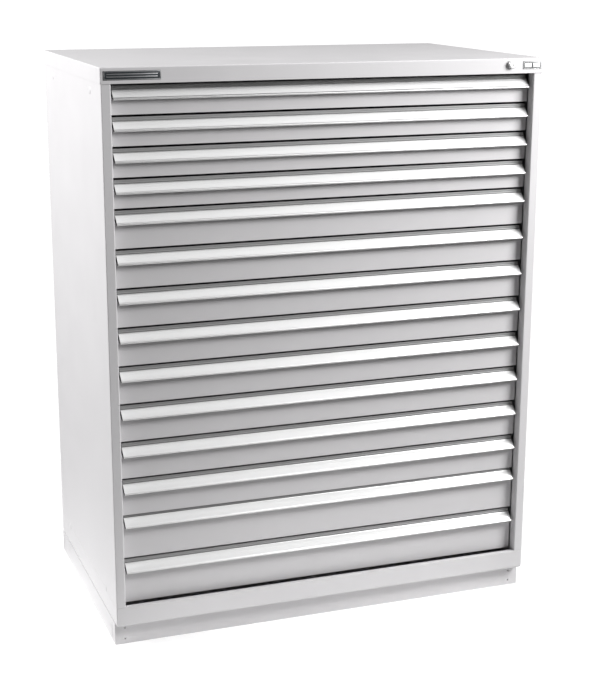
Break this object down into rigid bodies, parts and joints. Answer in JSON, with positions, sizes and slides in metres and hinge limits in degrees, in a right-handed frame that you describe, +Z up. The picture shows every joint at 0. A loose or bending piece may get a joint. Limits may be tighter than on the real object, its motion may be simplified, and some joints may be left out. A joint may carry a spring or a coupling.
{
  "type": "modular drawer cabinet",
  "caption": "Tall steel cabinet on a low recessed base with full-width roller drawers, extruded label handles, a folded top cap and a key lock at the upper right.",
  "frame": {"origin": "on the floor at the middle of the overall box", "axes": "+Z up, -Y out of the drawer fronts, +X to the right seen from the front"},
  "size_m": [1.194, 0.7336, 1.511],
  "materials": {
    "powder_coat": "light grey powder coat, fine texture, semi-matt",
    "handle_aluminium": "satin clear-anodised extrusion with fine lengthwise drawing lines",
    "zinc_steel": "bright zinc plated",
    "lock_chrome": "polished chrome plate",
    "plate_finish": "dark gloss plate with a thin light border, blank"
  },
  "bodies": {
    "housing": {"top_cap": "powder_coat", "right_side_panel": "powder_coat", "left_side_panel": "powder_coat", "back_panel": "powder_coat", "panel_screws": "zinc_steel", "bottom_pan": "powder_coat", "base_front_plate": "powder_coat", "base_side_rails": "powder_coat", "base_rear_rail": "powder_coat", "fixed_rails": "zinc_steel", "lock_body": "lock_chrome", "name_plate": "plate_finish", "badge_plate": "plate_finish", "front_posts": "zinc_steel", "rear_posts": "zinc_steel"},
    "drawer_01": {"drawer_01": "powder_coat", "handle_01": "handle_aluminium"},
    "carriage_01": {"carriage_01": "zinc_steel"},
    "drawer_02": {"drawer_02": "powder_coat", "handle_02": "handle_aluminium"},
    "carriage_02": {"carriage_02": "zinc_steel"},
    "drawer_03": {"drawer_03": "powder_coat", "handle_03": "handle_aluminium"},
    "carriage_03": {"carriage_03": "zinc_steel"},
    "drawer_04": {"drawer_04": "powder_coat", "handle_04": "handle_aluminium"},
    "carriage_04": {"carriage_04": "zinc_steel"},
    "drawer_05": {"drawer_05": "powder_coat", "handle_05": "handle_aluminium"},
    "carriage_05": {"carriage_05": "zinc_steel"},
    "drawer_06": {"drawer_06": "powder_coat", "handle_06": "handle_aluminium"},
    "carriage_06": {"carriage_06": "zinc_steel"},
    "drawer_07": {"drawer_07": "powder_coat", "handle_07": "handle_aluminium"},
    "carriage_07": {"carriage_07": "zinc_steel"},
    "drawer_08": {"drawer_08": "powder_coat", "handle_08": "handle_aluminium"},
    "carriage_08": {"carriage_08": "zinc_steel"},
    "drawer_09": {"drawer_09": "powder_coat", "handle_09": "handle_aluminium"},
    "carriage_09": {"carriage_09": "zinc_steel"},
    "drawer_10": {"drawer_10": "powder_coat", "handle_10": "handle_aluminium"},
    "carriage_10": {"carriage_10": "zinc_steel"},
    "drawer_11": {"drawer_11": "powder_coat", "handle_11": "handle_aluminium"},
    "carriage_11": {"carriage_11": "zinc_steel"},
    "drawer_12": {"drawer_12": "powder_coat", "handle_12": "handle_aluminium"},
    "carriage_12": {"carriage_12": "zinc_steel"},
    "drawer_13": {"drawer_13": "powder_coat", "handle_13": "handle_aluminium"},
    "carriage_13": {"carriage_13": "zinc_steel"},
    "drawer_14": {"drawer_14": "powder_coat", "handle_14": "handle_aluminium"},
    "carriage_14": {"carriage_14": "zinc_steel"},
    "lock_plug": {"lock_plug": "lock_chrome", "lock_cam": "zinc_steel"},
    "lock_bar": {"lock_bar": "zinc_steel"}
  },
  "joints": [
    {"name": "drawer_01_slide", "type": "slide", "parent": "housing", "child": "drawer_01", "axis": [0, -1, 0], "range_m": [0, 0.64]},
    {"name": "carriage_01_slide", "type": "slide", "parent": "housing", "child": "carriage_01", "axis": [0, -1, 0], "range_m": [0, 0.32]},
    {"name": "drawer_02_slide", "type": "slide", "parent": "housing", "child": "drawer_02", "axis": [0, -1, 0], "range_m": [0, 0.64]},
    {"name": "carriage_02_slide", "type": "slide", "parent": "housing", "child": "carriage_02", "axis": [0, -1, 0], "range_m": [0, 0.32]},
    {"name": "drawer_03_slide", "type": "slide", "parent": "housing", "child": "drawer_03", "axis": [0, -1, 0], "range_m": [0, 0.64]},
    {"name": "carriage_03_slide", "type": "slide", "parent": "housing", "child": "carriage_03", "axis": [0, -1, 0], "range_m": [0, 0.32]},
    {"name": "drawer_04_slide", "type": "slide", "parent": "housing", "child": "drawer_04", "axis": [0, -1, 0], "range_m": [0, 0.64]},
    {"name": "carriage_04_slide", "type": "slide", "parent": "housing", "child": "carriage_04", "axis": [0, -1, 0], "range_m": [0, 0.32]},
    {"name": "drawer_05_slide", "type": "slide", "parent": "housing", "child": "drawer_05", "axis": [0, -1, 0], "range_m": [0, 0.64]},
    {"name": "carriage_05_slide", "type": "slide", "parent": "housing", "child": "carriage_05", "axis": [0, -1, 0], "range_m": [0, 0.32]},
    {"name": "drawer_06_slide", "type": "slide", "parent": "housing", "child": "drawer_06", "axis": [0, -1, 0], "range_m": [0, 0.64]},
    {"name": "carriage_06_slide", "type": "slide", "parent": "housing", "child": "carriage_06", "axis": [0, -1, 0], "range_m": [0, 0.32]},
    {"name": "drawer_07_slide", "type": "slide", "parent": "housing", "child": "drawer_07", "axis": [0, -1, 0], "range_m": [0, 0.64]},
    {"name": "carriage_07_slide", "type": "slide", "parent": "housing", "child": "carriage_07", "axis": [0, -1, 0], "range_m": [0, 0.32]},
    {"name": "drawer_08_slide", "type": "slide", "parent": "housing", "child": "drawer_08", "axis": [0, -1, 0], "range_m": [0, 0.64]},
    {"name": "carriage_08_slide", "type": "slide", "parent": "housing", "child": "carriage_08", "axis": [0, -1, 0], "range_m": [0, 0.32]},
    {"name": "drawer_09_slide", "type": "slide", "parent": "housing", "child": "drawer_09", "axis": [0, -1, 0], "range_m": [0, 0.64]},
    {"name": "carriage_09_slide", "type": "slide", "parent": "housing", "child": "carriage_09", "axis": [0, -1, 0], "range_m": [0, 0.32]},
    {"name": "drawer_10_slide", "type": "slide", "parent": "housing", "child": "drawer_10", "axis": [0, -1, 0], "range_m": [0, 0.64]},
    {"name": "carriage_10_slide", "type": "slide", "parent": "housing", "child": "carriage_10", "axis": [0, -1, 0], "range_m": [0, 0.32]},
    {"name": "drawer_11_slide", "type": "slide", "parent": "housing", "child": "drawer_11", "axis": [0, -1, 0], "range_m": [0, 0.64]},
    {"name": "carriage_11_slide", "type": "slide", "parent": "housing", "child": "carriage_11", "axis": [0, -1, 0], "range_m": [0, 0.32]},
    {"name": "drawer_12_slide", "type": "slide", "parent": "housing", "child": "drawer_12", "axis": [0, -1, 0], "range_m": [0, 0.64]},
    {"name": "carriage_12_slide", "type": "slide", "parent": "housing", "child": "carriage_12", "axis": [0, -1, 0], "range_m": [0, 0.32]},
    {"name": "drawer_13_slide", "type": "slide", "parent": "housing", "child": "drawer_13", "axis": [0, -1, 0], "range_m": [0, 0.64]},
    {"name": "carriage_13_slide", "type": "slide", "parent": "housing", "child": "carriage_13", "axis": [0, -1, 0], "range_m": [0, 0.32]},
    {"name": "drawer_14_slide", "type": "slide", "parent": "housing", "child": "drawer_14", "axis": [0, -1, 0], "range_m": [0, 0.64]},
    {"name": "carriage_14_slide", "type": "slide", "parent": "housing", "child": "carriage_14", "axis": [0, -1, 0], "range_m": [0, 0.32]},
    {"name": "lock_turn", "type": "hinge", "parent": "housing", "child": "lock_plug", "pos_m": [0.5015, -0.35725, 1.4955], "axis": [0, -1, 0], "range_deg": [0, 90]},
    {"name": "lock_bar_slide", "type": "slide", "parent": "housing", "child": "lock_bar", "axis": [0, 0, -1], "range_m": [0, 0.008]}
  ],
  "couplings": [
    {"joint": "carriage_01_slide", "follows": "drawer_01_slide", "ratio": 0.5},
    {"joint": "carriage_02_slide", "follows": "drawer_02_slide", "ratio": 0.5},
    {"joint": "carriage_03_slide", "follows": "drawer_03_slide", "ratio": 0.5},
    {"joint": "carriage_04_slide", "follows": "drawer_04_slide", "ratio": 0.5},
    {"joint": "carriage_05_slide", "follows": "drawer_05_slide", "ratio": 0.5},
    {"joint": "carriage_06_slide", "follows": "drawer_06_slide", "ratio": 0.5},
    {"joint": "carriage_07_slide", "follows": "drawer_07_slide", "ratio": 0.5},
    {"joint": "carriage_08_slide", "follows": "drawer_08_slide", "ratio": 0.5},
    {"joint": "carriage_09_slide", "follows": "drawer_09_slide", "ratio": 0.5},
    {"joint": "carriage_10_slide", "follows": "drawer_10_slide", "ratio": 0.5},
    {"joint": "carriage_11_slide", "follows": "drawer_11_slide", "ratio": 0.5},
    {"joint": "carriage_12_slide", "follows": "drawer_12_slide", "ratio": 0.5},
    {"joint": "carriage_13_slide", "follows": "drawer_13_slide", "ratio": 0.5},
    {"joint": "carriage_14_slide", "follows": "drawer_14_slide", "ratio": 0.5},
    {"joint": "lock_turn", "follows": "lock_bar_slide", "rad_per_m": 196.3}
  ]
}
